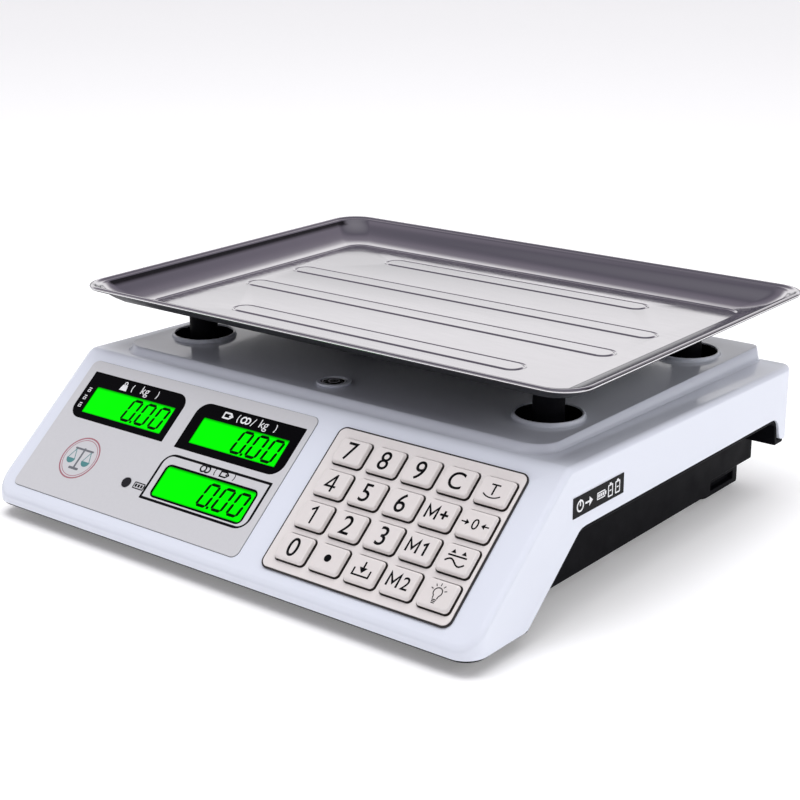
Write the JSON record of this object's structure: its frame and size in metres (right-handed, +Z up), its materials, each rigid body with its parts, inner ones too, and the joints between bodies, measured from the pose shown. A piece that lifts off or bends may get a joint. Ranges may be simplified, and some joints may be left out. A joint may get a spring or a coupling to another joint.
{
  "type": "retail price scale",
  "caption": "Counter price scale with a sloped panel of displays and push keys, a glossy two-part casing and a lift-off steel pan on posts over a load cell.",
  "frame": {"origin": "on the table, under the middle of the whole scale's box", "axes": "+Z up, +X to the operator's right along the pan's long side, +Y away from the operator, towards the customer"},
  "size_m": [0.34, 0.3184, 0.1173],
  "materials": {
    "white_plastic": "glossy injection-moulded ABS, faint cool tint",
    "black_plastic": "satin black ABS",
    "silver_overlay": "satin silver printed polyester overlay",
    "window_plastic": "clear acrylic with a black printed border",
    "lcd_green": "backlit green liquid crystal display",
    "circuit_board": "green solder mask",
    "champagne_plate": "satin champagne metallic paint",
    "key_plastic": "champagne metallic keycaps with printed marks",
    "grey_silicone": "translucent grey silicone",
    "cell_aluminium": "milled and cast aluminium",
    "zinc_steel": "bright zinc-plated steel",
    "vial_glass": "dark filled vial",
    "battery_case": "battery case",
    "cell_wrap": "printed shrink wrap on steel cans",
    "socket_plastic": "fine-textured black nylon",
    "label_film": "gloss black film label with white marks",
    "lamp_lens": "smoked indicator lens",
    "foot_rubber": "matt black rubber",
    "polished_steel": "mirror-polished stainless sheet"
  },
  "bodies": {
    "housing": {"upper_casing": "white_plastic", "lower_casing": "black_plastic", "display_overlay": "silver_overlay", "display_windows": "window_plastic", "lcd_modules": "lcd_green", "display_board": "circuit_board", "keypad_plate": "champagne_plate", "key_mat": "grey_silicone", "keypad_board": "circuit_board", "main_board": "circuit_board", "load_cell": "cell_aluminium", "load_cell_spacer": "cell_aluminium", "load_cell_bolts": "zinc_steel", "level_ring": "white_plastic", "level_vial": "vial_glass", "battery": "battery_case", "transformer": "zinc_steel", "power_inlet": "socket_plastic", "side_label": "label_film", "charge_lamp": "lamp_lens", "case_screws": "zinc_steel", "rear_overlay": "silver_overlay", "rear_windows": "window_plastic", "rear_lcd_modules": "lcd_green", "foot_nuts": "zinc_steel", "switch_housing": "socket_plastic", "dry_cells": "cell_wrap", "cell_springs": "zinc_steel"},
    "platform": {"platform_frame": "cell_aluminium", "platform_bolts": "zinc_steel", "support_posts": "black_plastic", "post_pads": "foot_rubber"},
    "pan": {"weighing_pan": "polished_steel", "pan_locators": "black_plastic"},
    "rocker": {"switch_rocker": "socket_plastic"},
    "cell_door": {"battery_door": "black_plastic"},
    "key_7_body": {"key_7": "key_plastic"},
    "key_8_body": {"key_8": "key_plastic"},
    "key_9_body": {"key_9": "key_plastic"},
    "key_clear_body": {"key_clear": "key_plastic"},
    "key_tare_body": {"key_tare": "key_plastic"},
    "key_4_body": {"key_4": "key_plastic"},
    "key_5_body": {"key_5": "key_plastic"},
    "key_6_body": {"key_6": "key_plastic"},
    "key_sum_body": {"key_sum": "key_plastic"},
    "key_zero_body": {"key_zero": "key_plastic"},
    "key_1_body": {"key_1": "key_plastic"},
    "key_2_body": {"key_2": "key_plastic"},
    "key_3_body": {"key_3": "key_plastic"},
    "key_m1_body": {"key_m1": "key_plastic"},
    "key_live_body": {"key_live": "key_plastic"},
    "key_0_body": {"key_0": "key_plastic"},
    "key_point_body": {"key_point": "key_plastic"},
    "key_store_body": {"key_store": "key_plastic"},
    "key_m2_body": {"key_m2": "key_plastic"},
    "key_light_body": {"key_light": "key_plastic"},
    "foot_front_left_body": {"foot_front_left": "foot_rubber"},
    "foot_front_right_body": {"foot_front_right": "foot_rubber"},
    "foot_rear_left_body": {"foot_rear_left": "foot_rubber"},
    "foot_rear_right_body": {"foot_rear_right": "foot_rubber"}
  },
  "joints": [
    {"name": "platform_deflection", "type": "slide", "parent": "housing", "child": "platform", "axis": [0, 0, 1], "range_m": [-0.0008, 0], "stiffness_N_per_m": 60000, "springref_m": 0.00025, "deforming": ["load_cell"]},
    {"name": "pan_lift", "type": "slide", "parent": "platform", "child": "pan", "axis": [0, 0, 1], "range_m": [0, 0.06]},
    {"name": "switch_rock", "type": "hinge", "parent": "housing", "child": "rocker", "pos_m": [0.121, -0.052, 0.011], "axis": [1, 0, 0], "range_deg": [-10, 10]},
    {"name": "door_slide", "type": "slide", "parent": "housing", "child": "cell_door", "axis": [0, -1, 0], "range_m": [0, 0.04]},
    {"name": "key_7_press", "type": "slide", "parent": "housing", "child": "key_7_body", "axis": [0, 0.644, -0.7651], "range_m": [0, 0.001], "stiffness_N_per_m": 600, "springref_m": -0.0005},
    {"name": "key_8_press", "type": "slide", "parent": "housing", "child": "key_8_body", "axis": [0, 0.644, -0.7651], "range_m": [0, 0.001], "stiffness_N_per_m": 600, "springref_m": -0.0005},
    {"name": "key_9_press", "type": "slide", "parent": "housing", "child": "key_9_body", "axis": [0, 0.644, -0.7651], "range_m": [0, 0.001], "stiffness_N_per_m": 600, "springref_m": -0.0005},
    {"name": "key_clear_press", "type": "slide", "parent": "housing", "child": "key_clear_body", "axis": [0, 0.644, -0.7651], "range_m": [0, 0.001], "stiffness_N_per_m": 600, "springref_m": -0.0005},
    {"name": "key_tare_press", "type": "slide", "parent": "housing", "child": "key_tare_body", "axis": [0, 0.644, -0.7651], "range_m": [0, 0.001], "stiffness_N_per_m": 600, "springref_m": -0.0005},
    {"name": "key_4_press", "type": "slide", "parent": "housing", "child": "key_4_body", "axis": [0, 0.644, -0.7651], "range_m": [0, 0.001], "stiffness_N_per_m": 600, "springref_m": -0.0005},
    {"name": "key_5_press", "type": "slide", "parent": "housing", "child": "key_5_body", "axis": [0, 0.644, -0.7651], "range_m": [0, 0.001], "stiffness_N_per_m": 600, "springref_m": -0.0005},
    {"name": "key_6_press", "type": "slide", "parent": "housing", "child": "key_6_body", "axis": [0, 0.644, -0.7651], "range_m": [0, 0.001], "stiffness_N_per_m": 600, "springref_m": -0.0005},
    {"name": "key_sum_press", "type": "slide", "parent": "housing", "child": "key_sum_body", "axis": [0, 0.644, -0.7651], "range_m": [0, 0.001], "stiffness_N_per_m": 600, "springref_m": -0.0005},
    {"name": "key_zero_press", "type": "slide", "parent": "housing", "child": "key_zero_body", "axis": [0, 0.644, -0.7651], "range_m": [0, 0.001], "stiffness_N_per_m": 600, "springref_m": -0.0005},
    {"name": "key_1_press", "type": "slide", "parent": "housing", "child": "key_1_body", "axis": [0, 0.644, -0.7651], "range_m": [0, 0.001], "stiffness_N_per_m": 600, "springref_m": -0.0005},
    {"name": "key_2_press", "type": "slide", "parent": "housing", "child": "key_2_body", "axis": [0, 0.644, -0.7651], "range_m": [0, 0.001], "stiffness_N_per_m": 600, "springref_m": -0.0005},
    {"name": "key_3_press", "type": "slide", "parent": "housing", "child": "key_3_body", "axis": [0, 0.644, -0.7651], "range_m": [0, 0.001], "stiffness_N_per_m": 600, "springref_m": -0.0005},
    {"name": "key_m1_press", "type": "slide", "parent": "housing", "child": "key_m1_body", "axis": [0, 0.644, -0.7651], "range_m": [0, 0.001], "stiffness_N_per_m": 600, "springref_m": -0.0005},
    {"name": "key_live_press", "type": "slide", "parent": "housing", "child": "key_live_body", "axis": [0, 0.644, -0.7651], "range_m": [0, 0.001], "stiffness_N_per_m": 600, "springref_m": -0.0005},
    {"name": "key_0_press", "type": "slide", "parent": "housing", "child": "key_0_body", "axis": [0, 0.644, -0.7651], "range_m": [0, 0.001], "stiffness_N_per_m": 600, "springref_m": -0.0005},
    {"name": "key_point_press", "type": "slide", "parent": "housing", "child": "key_point_body", "axis": [0, 0.644, -0.7651], "range_m": [0, 0.001], "stiffness_N_per_m": 600, "springref_m": -0.0005},
    {"name": "key_store_press", "type": "slide", "parent": "housing", "child": "key_store_body", "axis": [0, 0.644, -0.7651], "range_m": [0, 0.001], "stiffness_N_per_m": 600, "springref_m": -0.0005},
    {"name": "key_m2_press", "type": "slide", "parent": "housing", "child": "key_m2_body", "axis": [0, 0.644, -0.7651], "range_m": [0, 0.001], "stiffness_N_per_m": 600, "springref_m": -0.0005},
    {"name": "key_light_press", "type": "slide", "parent": "housing", "child": "key_light_body", "axis": [0, 0.644, -0.7651], "range_m": [0, 0.001], "stiffness_N_per_m": 600, "springref_m": -0.0005},
    {"name": "foot_front_left_screw", "type": "slide", "parent": "housing", "child": "foot_front_left_body", "axis": [0, 0, -1], "range_m": [0, 0.006]},
    {"name": "foot_front_right_screw", "type": "slide", "parent": "housing", "child": "foot_front_right_body", "axis": [0, 0, -1], "range_m": [0, 0.006]},
    {"name": "foot_rear_left_screw", "type": "slide", "parent": "housing", "child": "foot_rear_left_body", "axis": [0, 0, -1], "range_m": [0, 0.006]},
    {"name": "foot_rear_right_screw", "type": "slide", "parent": "housing", "child": "foot_rear_right_body", "axis": [0, 0, -1], "range_m": [0, 0.006]}
  ]
}
